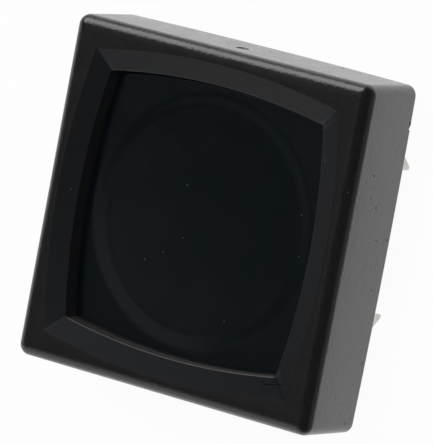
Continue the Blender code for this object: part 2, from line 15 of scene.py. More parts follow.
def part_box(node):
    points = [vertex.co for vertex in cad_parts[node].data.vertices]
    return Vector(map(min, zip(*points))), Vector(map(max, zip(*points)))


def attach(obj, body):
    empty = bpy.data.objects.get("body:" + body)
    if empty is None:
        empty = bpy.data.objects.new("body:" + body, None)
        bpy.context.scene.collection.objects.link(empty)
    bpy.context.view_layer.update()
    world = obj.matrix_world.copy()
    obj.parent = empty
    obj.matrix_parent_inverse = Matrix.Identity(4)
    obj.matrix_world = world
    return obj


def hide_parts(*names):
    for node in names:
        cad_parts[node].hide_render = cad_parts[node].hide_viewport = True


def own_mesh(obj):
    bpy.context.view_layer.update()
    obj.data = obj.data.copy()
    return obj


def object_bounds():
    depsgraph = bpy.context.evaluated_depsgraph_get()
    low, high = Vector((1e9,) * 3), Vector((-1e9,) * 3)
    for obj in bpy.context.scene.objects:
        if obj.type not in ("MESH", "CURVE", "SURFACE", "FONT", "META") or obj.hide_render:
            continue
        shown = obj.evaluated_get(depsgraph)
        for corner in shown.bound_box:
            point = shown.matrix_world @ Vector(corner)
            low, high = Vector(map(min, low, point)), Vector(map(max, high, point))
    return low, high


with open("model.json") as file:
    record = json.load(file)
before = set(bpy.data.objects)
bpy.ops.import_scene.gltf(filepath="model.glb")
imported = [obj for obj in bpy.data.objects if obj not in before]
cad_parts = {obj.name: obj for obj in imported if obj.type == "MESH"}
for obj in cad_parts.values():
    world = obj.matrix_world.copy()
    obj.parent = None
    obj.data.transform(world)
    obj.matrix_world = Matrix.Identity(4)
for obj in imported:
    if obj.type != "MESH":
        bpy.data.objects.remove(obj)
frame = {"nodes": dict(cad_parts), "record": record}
CAD_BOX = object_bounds()

MM = 0.001
ROWS = ("upper", "lower")
SIDES = ("left", "right")

# Heights and half widths that the CAD nodes give
FRAME_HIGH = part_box("bezel_frame")[1]
CAP_LOW, CAP_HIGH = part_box("button_cap")
PLUNGER_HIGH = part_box("button_plunger")[1]
BASE_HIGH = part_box("base_plate")[1]
HALF_SIDE = FRAME_HIGH.x
DEPTH = FRAME_HIGH.z
FLOOR_HEIGHT = CAD_BOX[0].z

# Frame: a rounding's size is how far it reaches along the edges that meet in it
FRAME_DRAFT = 0.15 * MM  # how much further out each side is at the back than at the front
FRAME_WALL = 1.0 * MM
SEAT_GAP = 0.15 * MM
INNER_HALF = HALF_SIDE - FRAME_WALL
LIP_BOTTOM = PLUNGER_HIGH.z + SEAT_GAP
EDGE_RADIUS = 0.9 * MM
EDGE_BOTTOM = DEPTH - EDGE_RADIUS
CORNER_RADIUS = 0.75 * MM  # of the frame's four upright corners
FRONT_CORNER_RADIUS = 0.1 * MM  # the same corners, where the front edge has turned over
WELL_HALF = HALF_SIDE - 3.45 * MM
WELL_BULGE = 0.8 * MM
SLOPE_WIDTH = 1.25 * MM
SLOPE_BULGE = 1.0 * MM
SLOPE_DROP = 0.45 * MM
WALL_BOW = 0.12 * MM  # how far the middle of each side stands out at the back, where the moulding has sprung
WELL_CORNER = 0.2 * MM
INNER_CORNER = 0.25 * MM
BACK_ROUNDING = 0.12 * MM
SLOPE_ROUNDING = 0.05 * MM
WELL_ROUNDING = 0.035 * MM
LIP_ROUNDING = 0.05 * MM
INNER_ROUNDING = 0.1 * MM
GATE_HEIGHT = DEPTH - 2.6 * MM
GATE_RADIUS = 0.5 * MM
GATE_SLANT = 0.15  # share of its radius by which the mark is wider at its rim and narrower at its bottom
GATE_DEPTH = 0.08 * MM
NUB_RADIUS = 0.16 * MM
NUB_END_RADIUS = 0.08 * MM
NUB_ASIDE = 0.12 * MM
NUB_ABOVE = 0.05 * MM
LEDGE_LENGTH = 3.0 * MM
LEDGE_REACH = 0.7 * MM
LEDGE_BOTTOM = BASE_HIGH.z + SEAT_GAP
LEDGE_TOP = 1.4 * MM
LUG_X = 5.0 * MM
LUG_WIDTH = 2.0 * MM
LUG_HEIGHT = 0.4 * MM
LUG_BOTTOM = 0.35 * MM
LUG_CLEARANCE = 0.15 * MM

# Button cap and its motion
CAP_CLEARANCE = 0.07 * MM
CAP_THICKNESS = 0.9 * MM
CAP_HALF = WELL_HALF - CAP_CLEARANCE
DISH_RADIUS = WELL_HALF + WELL_BULGE - 0.55 * MM
DISH_RIM_WIDTH = 1.25 * MM
DISH_RIM_DROP = 0.16 * MM
DISH_DROP = 0.2 * MM
CAP_CORNER = 0.3 * MM
CAP_ROUNDING = 0.15 * MM
CAP_BACK_ROUNDING = 0.08 * MM
CAP_EDGE_WIDTH = 0.3 * MM
CAP_BACK_EDGE_WIDTH = 1.0 * MM
PEG_RADIUS = 0.7 * MM
PEG_X = WELL_HALF - 1.55 * MM
PEG_ROOT = 0.3 * MM

OVERCUT = 0.5 * MM  # how far a cutter runs past the face that it opens

# Base plate and terminals
TERMINALS = {f"terminal_{row}_{side}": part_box(f"terminal_{row}_{side}") for row in ROWS for side in SIDES}
ROW_Y = [(low.y + high.y) / 2 for low, high in (TERMINALS[f"terminal_{row}_left"] for row in ROWS)]
BASE_LUG_REACH = BASE_HIGH.y
BASE_ROUNDING = 0.1 * MM
LUG_ROUNDING = 0.08 * MM
SPRING_SEAT_RADIUS = 3.4 * MM
SPRING_SEAT_DEPTH = 0.2 * MM
GUIDE_WIDTH = 1.9 * MM
GUIDE_FLOOR = 0.3 * MM
CHANNEL_FLOOR = 0.4 * MM
CHANNEL_CLEARANCE = 0.15 * MM
HEAD_POCKET_FLOOR = 0.6 * MM
HEAD_POCKET_RADIUS = 1.15 * MM
EJECTOR_X = 7.6 * MM
EJECTOR_RADIUS = 0.8 * MM
EJECTOR_DEPTH = 0.06 * MM
STRIP_THICKNESS = 0.4 * MM
BEND_RADIUS = 0.2 * MM
BEND_STEPS = 10
PIN_TIP_WIDTH = 0.25 * MM
PIN_TIP_HEIGHT = 1.05 * MM
STRIP_ROUNDING = 0.05 * MM

# Dust and wear: where the specks lie and the scratch runs in the face, in millimetres
FRAME_DUST = [(-9.9, 0.0), (11.5, 4.7), (8.6, -8.3), (-8.9, -3.85)]
CAP_DUST = [(-1.8, 2.15), (-1.4, -1.4), (-4.0, -3.5), (7.5, 2.2), (7.9, -0.5), (3.1, -6.1), (-2.7, -2.7)]
SCRATCH = [(7.7, -9.30), (7.9, -9.21), (8.4, -9.09), (8.9, -8.97), (9.4, -8.85), (9.8, -8.76)]
SCRATCH_WIDTH = 0.075 * MM
SCRATCH_DEPTH = 0.09 * MM
SCRATCH_END_SHARE = 0.3  # of its width and depth, that the scratch keeps at its ends
NICK = ((HALF_SIDE, 8.95 * MM, 0.0), (HALF_SIDE, 9.5 * MM, 0.3 * MM))  # in the back edge of the right side
NICK_RADIUS = 0.2 * MM
NICK_END_RADIUS = 0.14 * MM

# Studio
PAPER = 0.95
PAPER_SEEN_WHITE = 0.96  # share of plain white in what the camera sees of the floor: the rest is shaded paper
PAPER_ENDS = [  # along which axis, lit to, dim from, and how dim
    ("X", -18.0 * MM, -26.0 * MM, 0.72),
    ("X", 17.0 * MM, 23.0 * MM, 0.2),
    ("Y", 20.0 * MM, 36.0 * MM, 0.5),
]
FLOOR_REACH = 2.0
LAMP_DISTANCE = 0.6
ROOM_GLOW = 0.055
ROOM_LIGHTS = [  # azimuth, elevation, how far off its middle it stays even, how far off it ends, and strength
    (240.0, -5.0, 25.0, 50.0, 0.75),
    (190.0, -10.0, 15.0, 36.0, 0.5),
    (188.0, 20.0, 4.0, 26.0, 0.03),
    (205.0, 38.0, 0.0, 18.0, 0.07),
    (245.0, 42.0, 2.0, 23.0, 0.18),
    (150.0, 70.0, 0.0, 27.0, 0.21),
]

# Fineness of the meshes
SIDE_STEPS = 48
CORNER_STEPS = 8
FILLET_STEPS = 12
EDGE_STEPS = 4
RING_STEPS = 10
MERGE = 0.0005 * MM
LEVEL = 0.99  # how much of a face's normal points up where the face counts as level

# Camera: where it looks, from which side, how far off, and how far it is turned about its own axis
CAMERA_TARGET = Vector((2.15 * MM, 0.53 * MM, DEPTH))
CAMERA_BACK = Vector((0.5176, 0.1331, 0.8452)).normalized()
CAMERA_RIGHT = Vector((0.8251, 0.1838, -0.5342))
CAMERA_DISTANCE = 384.2 * MM
CAMERA_LENS = 468.3


# Meshes


def new_object(name, mesh):
    thing = bpy.data.objects.new(name, mesh)
    bpy.context.scene.collection.objects.link(thing)
    return thing


def mesh_from(bm, name):
    """Turns a bmesh into a smooth mesh with its faces pointing out."""
    bmesh.ops.remove_doubles(bm, verts=bm.verts[:], dist=MERGE)
    bmesh.ops.dissolve_degenerate(bm, edges=bm.edges[:], dist=MERGE)
    bmesh.ops.recalc_face_normals(bm, faces=bm.faces[:])
    mesh = bpy.data.meshes.new(name)
    bm.to_mesh(mesh)
    bm.free()
    mesh.shade_smooth()
    return mesh


def outline(half, bulge, corner, height):
    """Points round a square at this height. Its corners, before they are rounded, lie at half, and its sides
    bow out by bulge."""
    if bulge < MERGE:
        reach = half - corner
        side = [(half, reach * (2 * i / SIDE_STEPS - 1)) for i in range(SIDE_STEPS + 1)]
        middle, first = reach, 0.0
    else:
        radius = (half * half + bulge * bulge) / (2 * bulge)
        centre = half + bulge - radius
        middle = (centre + math.sqrt(2 * (radius - corner) ** 2 - centre**2)) / 2
        first = math.asin(middle / (radius - corner))
        angles = [first * (2 * i / SIDE_STEPS - 1) for i in range(SIDE_STEPS + 1)]
        side = [(centre + radius * math.cos(a), radius * math.sin(a)) for a in angles]
    turns = [first + (math.pi / 2 - 2 * first) * i / CORNER_STEPS for i in range(1, CORNER_STEPS)]
    side += [(middle + corner * math.cos(a), middle + corner * math.sin(a)) for a in turns]
    points = []
    for quarter in range(4):
        turn = Matrix.Rotation(quarter * math.pi / 2, 3, "Z")
        points += [turn @ Vector((x, y, height)) for x, y in side]
    return points


def softened(profile):
    """Rounds the corners of a closed profile. Each entry is a corner's (half, bulge, corner, height) and its
    rounding."""
    points = []
    for i, (here, reach) in enumerate(profile):
        here = Vector(here)
        if reach == 0.0:
            points.append(here)
            continue
        ends = []
        for other in (profile[i - 1][0], profile[(i + 1) % len(profile)][0]):
            edge = Vector(other) - here
            ends.append(here + edge * (reach / math.hypot(edge[0], edge[3])))
        for step in range(EDGE_STEPS + 1):
            t = step / EDGE_STEPS
            points.append(ends[0] * (1 - t) ** 2 + here * (2 * t * (1 - t)) + ends[1] * t**2)
    return points


def joined_rings(bm, rings, closed):
    """Faces between each ring of points and the next, and back to the first where closed."""
    rings = [[bm.verts.new(point) for point in ring] for ring in rings]
    following = rings[1:] + (rings[:1] if closed else [])
    for ring, other in zip(rings, following):
        for i in range(len(ring)):
            j = (i + 1) % len(ring)
            bm.faces.new((ring[i], ring[j], other[j], other[i]))
    return rings


def boxes(name, pairs):
    """One object of several boxes, each given by two opposite corners."""
    bm = bmesh.new()
    for first, second in pairs:
        first, second = Vector(first), Vector(second)
        size = Matrix.Diagonal([abs(a) for a in second - first] + [1.0])
        bmesh.ops.create_cube(bm, size=1.0, matrix=Matrix.Translation((first + second) / 2) @ size)
    return new_object(name, mesh_from(bm, name))


def pillars(name, ends, radius, end_radius=None, segments=48):
    """One object of several round pillars, each from one end to the other."""
    bm = bmesh.new()
    for start, end in ends:
        start, end = Vector(start), Vector(end)
        turn = (end - start).to_track_quat("Z", "Y").to_matrix().to_4x4()
        bmesh.ops.create_cone(
            bm,
            cap_ends=True,
            segments=segments,
            radius1=radius,
            radius2=radius if end_radius is None else end_radius,
            depth=(end - start).length,
            matrix=Matrix.Translation((start + end) / 2) @ turn,
        )
    return new_object(name, mesh_from(bm, name))


def prism(name, points, reach):
    """A flat outline, drawn out by reach."""
    bm = bmesh.new()
    face = bm.faces.new([bm.verts.new(point) for point in points])
    moved = bmesh.ops.extrude_face_region(bm, geom=[face])["geom"]
    bmesh.ops.translate(bm, vec=reach, verts=[v for v in moved if isinstance(v, bmesh.types.BMVert)])
    return new_object(name, mesh_from(bm, name))


def bevelled(thing, width, segments=2, angle=30.0):
    """Rounds a thing's edges at once."""
    bevel = thing.modifiers.new("bevel", "BEVEL")
    bevel.width = width
    bevel.segments = segments
    bevel.limit_method = "ANGLE"
    bevel.angle_limit = math.radians(angle)
    return applied(thing)


def applied(thing):
    graph = bpy.context.evaluated_depsgraph_get()
    mesh = bpy.data.meshes.new_from_object(thing.evaluated_get(graph))
    thing.modifiers.clear()
    thing.data = mesh
    return thing


def combine(thing, tool, operation="DIFFERENCE"):
    """Cuts or joins at once, and removes the tool."""
    boolean = thing.modifiers.new("boolean", "BOOLEAN")
    boolean.operation = operation
    boolean.object = tool
    applied(thing)
    bpy.data.objects.remove(tool, do_unlink=True)


def corners():
    return [(sx, sy) for sx in (-1, 1) for sy in (-1, 1)]


def finish_piece(thing, body, nodes, material, sharp=40.0):
    """Shades a piece, gives it its material, and puts it on its body in place of CAD nodes."""
    thing.data.shade_smooth()
    thing.data.set_sharp_from_angle(angle=math.radians(sharp))
    weighted = thing.modifiers.new("weighted", "WEIGHTED_NORMAL")
    weighted.keep_sharp = True
    thing.data.materials.clear()
    thing.data.materials.append(material)
    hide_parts(*nodes)
    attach(thing, body)


def frame_half(height):
    """Half the frame's side at this height, up to where its front edge turns over."""
    return HALF_SIDE - FRAME_DRAFT * height / DEPTH


def build_bezel(material):
    slope_half = WELL_HALF + SLOPE_WIDTH
    slope_bottom = DEPTH - SLOPE_DROP
    profile = [((HALF_SIDE - WALL_BOW, WALL_BOW, CORNER_RADIUS, 0.0), BACK_ROUNDING)]
    for step in range(FILLET_STEPS + 1):
        angle = math.pi / 2 * step / FILLET_STEPS
        half = frame_half(EDGE_BOTTOM) - EDGE_RADIUS * (1 - math.cos(angle))
        corner = FRONT_CORNER_RADIUS + (CORNER_RADIUS - FRONT_CORNER_RADIUS) * math.cos(angle)
        profile.append(((half, 0.0, corner, EDGE_BOTTOM + EDGE_RADIUS * math.sin(angle)), 0.0))
    profile += [
        ((slope_half, SLOPE_BULGE, WELL_CORNER, DEPTH), SLOPE_ROUNDING),
        ((WELL_HALF, WELL_BULGE, WELL_CORNER, slope_bottom), WELL_ROUNDING),
        ((WELL_HALF, WELL_BULGE, WELL_CORNER, LIP_BOTTOM), LIP_ROUNDING),
        ((INNER_HALF, 0.0, INNER_CORNER, LIP_BOTTOM), INNER_ROUNDING),
        ((INNER_HALF, 0.0, INNER_CORNER, 0.0), INNER_ROUNDING),
    ]
    bm = bmesh.new()
    joined_rings(bm, [outline(*point) for point in softened(profile)], closed=True)
    bezel = new_object("bezel_shell", mesh_from(bm, "bezel_shell"))
    cut_gate(bezel)
    cut_lug_pockets(bezel)
    add_ledges(bezel)
    cut_scratch(bezel)
    combine(bezel, pillars("nick", [NICK], NICK_RADIUS, NICK_END_RADIUS, segments=16))
    mark_smooth(bezel.data)
    finish_piece(bezel, "housing", ["bezel_frame"], material, sharp=28.0)


def cut_gate(bezel):
    """The round mark that the moulding gate left: a shallow recess with slanting sides and a torn nub."""
    bowed = 0.5 * WALL_BOW * (1 - GATE_HEIGHT / EDGE_BOTTOM)
    face = Vector((0.0, frame_half(GATE_HEIGHT) + bowed, GATE_HEIGHT))
    reach = Vector((0.0, GATE_DEPTH, 0.0))
    rim, bottom = (1 + GATE_SLANT) * GATE_RADIUS, (1 - GATE_SLANT) * GATE_RADIUS
    combine(bezel, pillars("gate", [(face + reach, face - reach)], rim, bottom))
    nub = face + Vector((NUB_ASIDE, -0.75 * GATE_DEPTH, NUB_ABOVE))
    ends = [(nub - reach, nub + 0.5 * reach)]
    combine(bezel, pillars("gate_nub", ends, NUB_RADIUS, NUB_END_RADIUS, segments=12), "UNION")


def cut_lug_pockets(bezel):
    half = LUG_WIDTH / 2 + LUG_CLEARANCE
    near, far = INNER_HALF - OVERCUT, BASE_LUG_REACH + LUG_CLEARANCE
    low, high = LUG_BOTTOM - LUG_CLEARANCE, LUG_BOTTOM + LUG_HEIGHT + LUG_CLEARANCE
    pockets = [
        ((sx * LUG_X - half, sy * near, low), (sx * LUG_X + half, sy * far, high)) for sx, sy in corners()
    ]
    combine(bezel, boxes("lug_pockets", pockets))


def add_ledges(bezel):
    """The four ledges inside the walls that the base plate seats against."""
    inner, outer, half = INNER_HALF - LEDGE_REACH, INNER_HALF + OVERCUT / 2, LEDGE_LENGTH / 2
    ledges = [((sx * inner, -half, LEDGE_BOTTOM), (sx * outer, half, LEDGE_TOP)) for sx in (-1, 1)]
    ledges += [((-half, sy * inner, LEDGE_BOTTOM), (half, sy * outer, LEDGE_TOP)) for sy in (-1, 1)]
    combine(bezel, boxes("ledges", ledges), "UNION")


def mark_smooth(mesh):
    """Marks the sloping border and the well's walls, which the mould left smoother than the rest."""
    marks = mesh.attributes.new("smooth_slope", "FLOAT", "FACE")
    outermost = WELL_HALF + SLOPE_WIDTH + SLOPE_BULGE
    for face, mark in zip(mesh.polygons, marks.data):
        inside = max(abs(face.center.x), abs(face.center.y)) < outermost and face.center.z > LIP_BOTTOM
        mark.value = 1.0 if inside and face.normal.z < LEVEL else 0.0


def cut_scratch(bezel):
    """The scratch over a corner of the sloping border: steep on its +Y side, and fading at both ends."""
    rings = []
    for x, y in SCRATCH:
        point = bezel.ray_cast(Vector((x * MM, y * MM, 2 * DEPTH)), Vector((0.0, 0.0, -1.0)))[1]
        share = SCRATCH_END_SHARE if (x, y) in (SCRATCH[0], SCRATCH[-1]) else 1.0
        width, depth = share * SCRATCH_WIDTH, share * SCRATCH_DEPTH
        bottom = point + Vector((0.0, width / 2, -depth))
        flank = Vector((0.0, -width, depth + width * SLOPE_DROP / SLOPE_WIDTH))
        rings.append([bottom + 2.5 * flank, bottom, bottom + Vector((0.0, 0.2 * width, 4 * depth))])
    bm = bmesh.new()
    rings = joined_rings(bm, rings, closed=False)
    bm.faces.new(rings[0])
    bm.faces.new(rings[-1])
    combine(bezel, new_object("scratch", mesh_from(bm, "scratch")))


def dish_height(radius):
    """Height of the cap's face against its rim: a soft step down at the dish's edge, then a shallow bowl."""
    inner = DISH_RADIUS - DISH_RIM_WIDTH
    across = min(max((DISH_RADIUS - radius) / DISH_RIM_WIDTH, 0.0), 1.0)
    step = across * across * (3 - 2 * across)
    bowl = 1 - (radius / inner) ** 2 if radius < inner else 0.0
    return -DISH_RIM_DROP * step - DISH_DROP * bowl


def on_circle(point, radius):
    """The point of a circle in the cap's face that lies the same way from the middle."""
    across = Vector((point.x, point.y, 0.0)).normalized() * radius
    across.z = CAP_HIGH.z + dish_height(radius)
    return across


def build_cap(material):
    bottom = CAP_HIGH.z - CAP_THICKNESS
    profile = softened(
        [
            ((CAP_HALF - CAP_BACK_EDGE_WIDTH, WELL_BULGE, CAP_CORNER, bottom), 0.0),
            ((CAP_HALF, WELL_BULGE, CAP_CORNER, bottom), CAP_BACK_ROUNDING),
            ((CAP_HALF, WELL_BULGE, CAP_CORNER, CAP_HIGH.z), CAP_ROUNDING),
            ((CAP_HALF - CAP_EDGE_WIDTH, WELL_BULGE, CAP_CORNER, CAP_HIGH.z), 0.0),
        ]
    )
    rings = [outline(*point) for point in profile]
    edge = rings[-1]
    ring = [on_circle(point, DISH_RADIUS) for point in edge]
    shares = [step / RING_STEPS for step in range(1, RING_STEPS)]
    rings += [[a.lerp(b, share) for a, b in zip(edge, ring)] for share in shares]
    rim_steps = 2 * RING_STEPS
    inner = DISH_RADIUS - DISH_RIM_WIDTH
    radii = [DISH_RADIUS - DISH_RIM_WIDTH * i / rim_steps for i in range(rim_steps)]
    radii += [inner * (1 - i / rim_steps) for i in range(rim_steps)]
    rings += [[on_circle(point, radius) for point in edge] for radius in radii]
    bm = bmesh.new()
    rings = joined_rings(bm, rings, closed=False)
    bm.faces.new(rings[0])
    middle = bm.verts.new((0.0, 0.0, CAP_HIGH.z + dish_height(0.0)))
    last = rings[-1]
    for i in range(len(last)):
        bm.faces.new((last[i], last[(i + 1) % len(last)], middle))
    cap = new_object("cap_face", mesh_from(bm, "cap_face"))
    places = [(sx * PEG_X, sy * PEG_X) for sx, sy in corners()]
    pegs = [((x, y, CAP_LOW.z), (x, y, bottom + PEG_ROOT)) for x, y in places]
    combine(cap, pillars("pegs", pegs, PEG_RADIUS), "UNION")
    finish_piece(cap, "button", ["button_cap"], material)


def build_base(material):
    """The plate that closes the back, with the terminals' channels and slots, and the ejector pins' marks."""
    half = BASE_HIGH.x
    base = boxes("base_shell", [((-half, -half, 0.0), (half, half, BASE_HIGH.z))])
    bevelled(base, BASE_ROUNDING)
    lugs = [
        (
            (sx * LUG_X - LUG_WIDTH / 2, sy * (half - OVERCUT), LUG_BOTTOM),
            (sx * LUG_X + LUG_WIDTH / 2, sy * BASE_LUG_REACH, LUG_BOTTOM + LUG_HEIGHT),
        )
        for sx, sy in corners()
    ]
    combine(base, bevelled(boxes("snap_lugs", lugs), LUG_ROUNDING), "UNION")

    top = BASE_HIGH.z + OVERCUT
    seat = [((0, 0, BASE_HIGH.z - SPRING_SEAT_DEPTH), (0, 0, top))]
    combine(base, pillars("spring_seat", seat, SPRING_SEAT_RADIUS))
    guide = PLUNGER_HIGH.x - GUIDE_WIDTH
    pockets = [
        ((sx * guide, sy * guide, GUIDE_FLOOR), (sx * 2 * half, sy * 2 * half, top)) for sx, sy in corners()
    ]
    for low, high in TERMINALS.values():
        wide = CHANNEL_CLEARANCE
        inner, outer = (low.x - wide, high.x + wide)
        slot = outer - STRIP_THICKNESS - 2 * wide if outer > 0 else inner + STRIP_THICKNESS + 2 * wide
        pockets.append(((inner, low.y - wide, CHANNEL_FLOOR), (outer, high.y + wide, top)))
        pockets.append(((slot, low.y - wide, -OVERCUT), (outer if outer > 0 else inner, high.y + wide, top)))
    for pocket in pockets:
        combine(base, boxes("pocket", [pocket]))

    heads = [((0.0, y, HEAD_POCKET_FLOOR), (0.0, y, top)) for y in ROW_Y]
    combine(base, pillars("head_pockets", heads, HEAD_POCKET_RADIUS))
    places = [(sx * EJECTOR_X, sy * EJECTOR_X) for sx, sy in corners()]
    marks = [((x, y, -OVERCUT), (x, y, EJECTOR_DEPTH)) for x, y in places]
    combine(base, pillars("ejector_marks", marks, EJECTOR_RADIUS))
    finish_piece(base, "housing", ["base_plate"], material, sharp=25.0)


def build_terminal(name, material):
    """A stamped strip, bent down into a flat pin whose tip is cut at a slant on its outer side."""
    low, high = TERMINALS[name]
    sign = math.copysign(1.0, low.x)
    end_x, outer_x = sorted((abs(low.x), abs(high.x)))
    inner_x = outer_x - STRIP_THICKNESS
    bottom = high.z - STRIP_THICKNESS
    bend_x, bend_z = inner_x - BEND_RADIUS, bottom - BEND_RADIUS
    turns = [math.pi / 2 * step / BEND_STEPS for step in range(BEND_STEPS + 1)]
    inner_bend = [(bend_x + BEND_RADIUS * math.sin(a), bend_z + BEND_RADIUS * math.cos(a)) for a in turns]
    wide = BEND_RADIUS + STRIP_THICKNESS
    outer_bend = [(bend_x + wide * math.cos(a), bend_z + wide * math.sin(a)) for a in turns]
    side = [(end_x, high.z), (end_x, bottom)] + inner_bend + [(inner_x, low.z), (outer_x, low.z)] + outer_bend
    strip = prism(name + "_strip", [(sign * x, low.y, z) for x, z in side], Vector((0, high.y - low.y, 0)))

    outward = math.copysign(1.0, low.y)
    near, far = sorted((low.y, high.y), key=abs)
    tip = [(near, high.z + OVERCUT), (near, low.z), (near + outward * PIN_TIP_WIDTH, low.z)]
    tip += [(far, low.z + PIN_TIP_HEIGHT), (far, high.z + OVERCUT)]
    points = [(sign * (end_x - OVERCUT), y, z) for y, z in tip]
    combine(strip, prism(name + "_mask", points, Vector((sign * outer_x, 0, 0))), "INTERSECT")
    bevelled(strip, STRIP_ROUNDING, segments=3, angle=35.0)
    finish_piece(strip, "housing", [name], material)


def build_spring(name, kind, body, material):
    """A spring as the CAD node shapes it, with its finish, on its body."""
    source = frame["nodes"][name]
    spring = new_object(f"{name}_{kind}", source.data.copy())
    spring.matrix_world = source.matrix_world
    finish_piece(spring, body, [name], material)
    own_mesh(spring)


# Finishes


def new_material(name, roughness, metallic=0.0, ior=1.5):
    material = bpy.data.materials.new(name)
    material.use_nodes = True
    shader = material.node_tree.nodes["Principled BSDF"]
    shader.inputs["Roughness"].default_value = roughness
    shader.inputs["Metallic"].default_value = metallic
    shader.inputs["IOR"].default_value = ior
    return material, shader


def node(tree, kind, **inputs):
    """A new node, with some of its inputs set by their names in lower case."""
    made = tree.nodes.new(kind)
    for name, value in inputs.items():
        made.inputs[name.replace("_", " ").title()].default_value = value
    return made


def maths(tree, operation, first, second=None, clamp=False):
    """A Math node on numbers or sockets."""
    made = tree.nodes.new("ShaderNodeMath")
    made.operation = operation
    made.use_clamp = clamp
    for socket, value in zip(made.inputs, (first, second)):
        if isinstance(value, (int, float)):
            socket.default_value = value
        elif value is not None:
            tree.links.new(value, socket)
    return made.outputs[0]


def vectors(tree, operation, first, second):
    """A Vector Math node on a socket and a fixed vector."""
    made = tree.nodes.new("ShaderNodeVectorMath")
    made.operation = operation
    tree.links.new(first, made.inputs[0])
    made.inputs[1].default_value = second
    return made.outputs["Value" if operation in ("DISTANCE", "DOT_PRODUCT") else "Vector"]


def placed(tree):
    """Where a point of the piece lies, in metres."""
    return tree.nodes.new("ShaderNodeTexCoord").outputs["Object"]


def height(tree):
    split = tree.nodes.new("ShaderNodeSeparateXYZ")
    tree.links.new(placed(tree), split.inputs[0])
    return split.outputs["Z"]


def noise(tree, size, detail=3.0, roughness=0.5, stretch=(1.0, 1.0, 1.0)):
    """Noise over the piece, with features of about this size, drawn out by stretch along X, Y and Z."""
    made = node(tree, "ShaderNodeTexNoise", scale=1.0, detail=detail, roughness=roughness)
    scaled = vectors(tree, "MULTIPLY", placed(tree), [1 / (size * s) for s in stretch])
    tree.links.new(scaled, made.inputs["Vector"])
    return made.outputs["Fac"]


def cells(tree, size, output="Distance"):
    """Voronoi cells over the piece, of about this size."""
    made = node(tree, "ShaderNodeTexVoronoi", scale=1.0)
    tree.links.new(vectors(tree, "MULTIPLY", placed(tree), [1 / size] * 3), made.inputs["Vector"])
    return made.outputs[output]


def ranged(tree, value, low, high, start=0.0, end=1.0, smooth=False):
    """Maps start..end of a value to low..high."""
    made = tree.nodes.new("ShaderNodeMapRange")
    made.interpolation_type = "SMOOTHSTEP" if smooth else "LINEAR"
    for name, number in (("From Min", start), ("From Max", end), ("To Min", low), ("To Max", high)):
        made.inputs[name].default_value = number
    tree.links.new(value, made.inputs["Value"])
    return made.outputs["Result"]


def mixed(tree, share, first, second):
    """A mix by share of two colours, of two numbers, or of their sockets."""
    made = tree.nodes.new("ShaderNodeMix")
    plain = isinstance(first, float) or isinstance(second, float)
    made.data_type = "FLOAT" if plain else "RGBA"
    for socket, value in zip(made.inputs[2:4] if plain else made.inputs[6:8], (first, second)):
        if isinstance(value, bpy.types.NodeSocket):
            tree.links.new(value, socket)
        else:
            socket.default_value = value if plain else (*value, 1.0)
    tree.links.new(share, made.inputs[0])
    return made.outputs[0 if plain else 2]


def bumped(tree, shader, raised, distance):
    """Adds a bump of this depth to those already on the shader."""
    made = node(tree, "ShaderNodeBump", strength=1.0, distance=distance)
    tree.links.new(raised, made.inputs["Height"])
    earlier = shader.inputs["Normal"].links
    if earlier:
        tree.links.new(earlier[0].from_socket, made.inputs["Normal"])
    tree.links.new(made.outputs["Normal"], shader.inputs["Normal"])


def pits(tree, size, radius, share):
    """A mask of round pits, as wide as this share of the spacing, in this share of the cells."""
    near = ranged(tree, cells(tree, size), 1.0, 0.0, 0.5 * radius, radius)
    chosen = maths(tree, "LESS_THAN", cells(tree, size, output="Color"), share)
    return maths(tree, "MULTIPLY", near, chosen)


def specks(tree, places, radius):
    """A mask of small soft specks round these places in the face, in millimetres."""
    mask = None
    for x, y in places:
        flat = vectors(tree, "MULTIPLY", placed(tree), (1.0, 1.0, 0.0))
        away = vectors(tree, "DISTANCE", flat, (x * MM, y * MM, 0.0))
        spot = ranged(tree, away, 1.0, 0.0, 0.4 * radius, radius)
        mask = spot if mask is None else maths(tree, "MAXIMUM", mask, spot)
    return mask


def frame_colour(tree, slope, cloud):
    """Near black, with a purplish haze of tint and painted sheen that gets stronger down the walls, and some
    dust.
    """
    matte = mixed(tree, cloud, (0.0055, 0.0055, 0.0055), (0.0105, 0.0102, 0.0097))
    colour = mixed(tree, slope, matte, (0.006, 0.0070, 0.0088))
    haze_and_painted_sheen = ranged(tree, noise(tree, 0.7 * MM, detail=2.0), 0.6, 1.0, 0.3, 0.7)
    # The haze is partly the plastic's tint and partly painted sheen: it lightens the walls' colour, most
    # towards their back edge.
    haze_and_painted_sheen = maths(tree, "MULTIPLY", ranged(tree, height(tree), 0.16, 0.0, 0.0, EDGE_BOTTOM), haze_and_painted_sheen)
    colour = mixed(tree, haze_and_painted_sheen, colour, (0.17, 0.158, 0.166))
    dust = specks(tree, FRAME_DUST, 0.055 * MM)
    return mixed(tree, maths(tree, "MULTIPLY", dust, 0.5), colour, (0.22, 0.21, 0.2))


def frame_roughness(tree, slope, grain, cloud, pitted):
    """Rougher in the grain, in patches and in the pits, and even round the well."""
    grainy = ranged(tree, grain, 0.19, 0.27, 0.3, 0.7)
    patchy = ranged(tree, cloud, -0.03, 0.03, 0.3, 0.7)
    rough = mixed(tree, slope, maths(tree, "ADD", grainy, patchy), 0.17)
    return maths(tree, "MAXIMUM", rough, maths(tree, "MULTIPLY", pitted, 0.6))


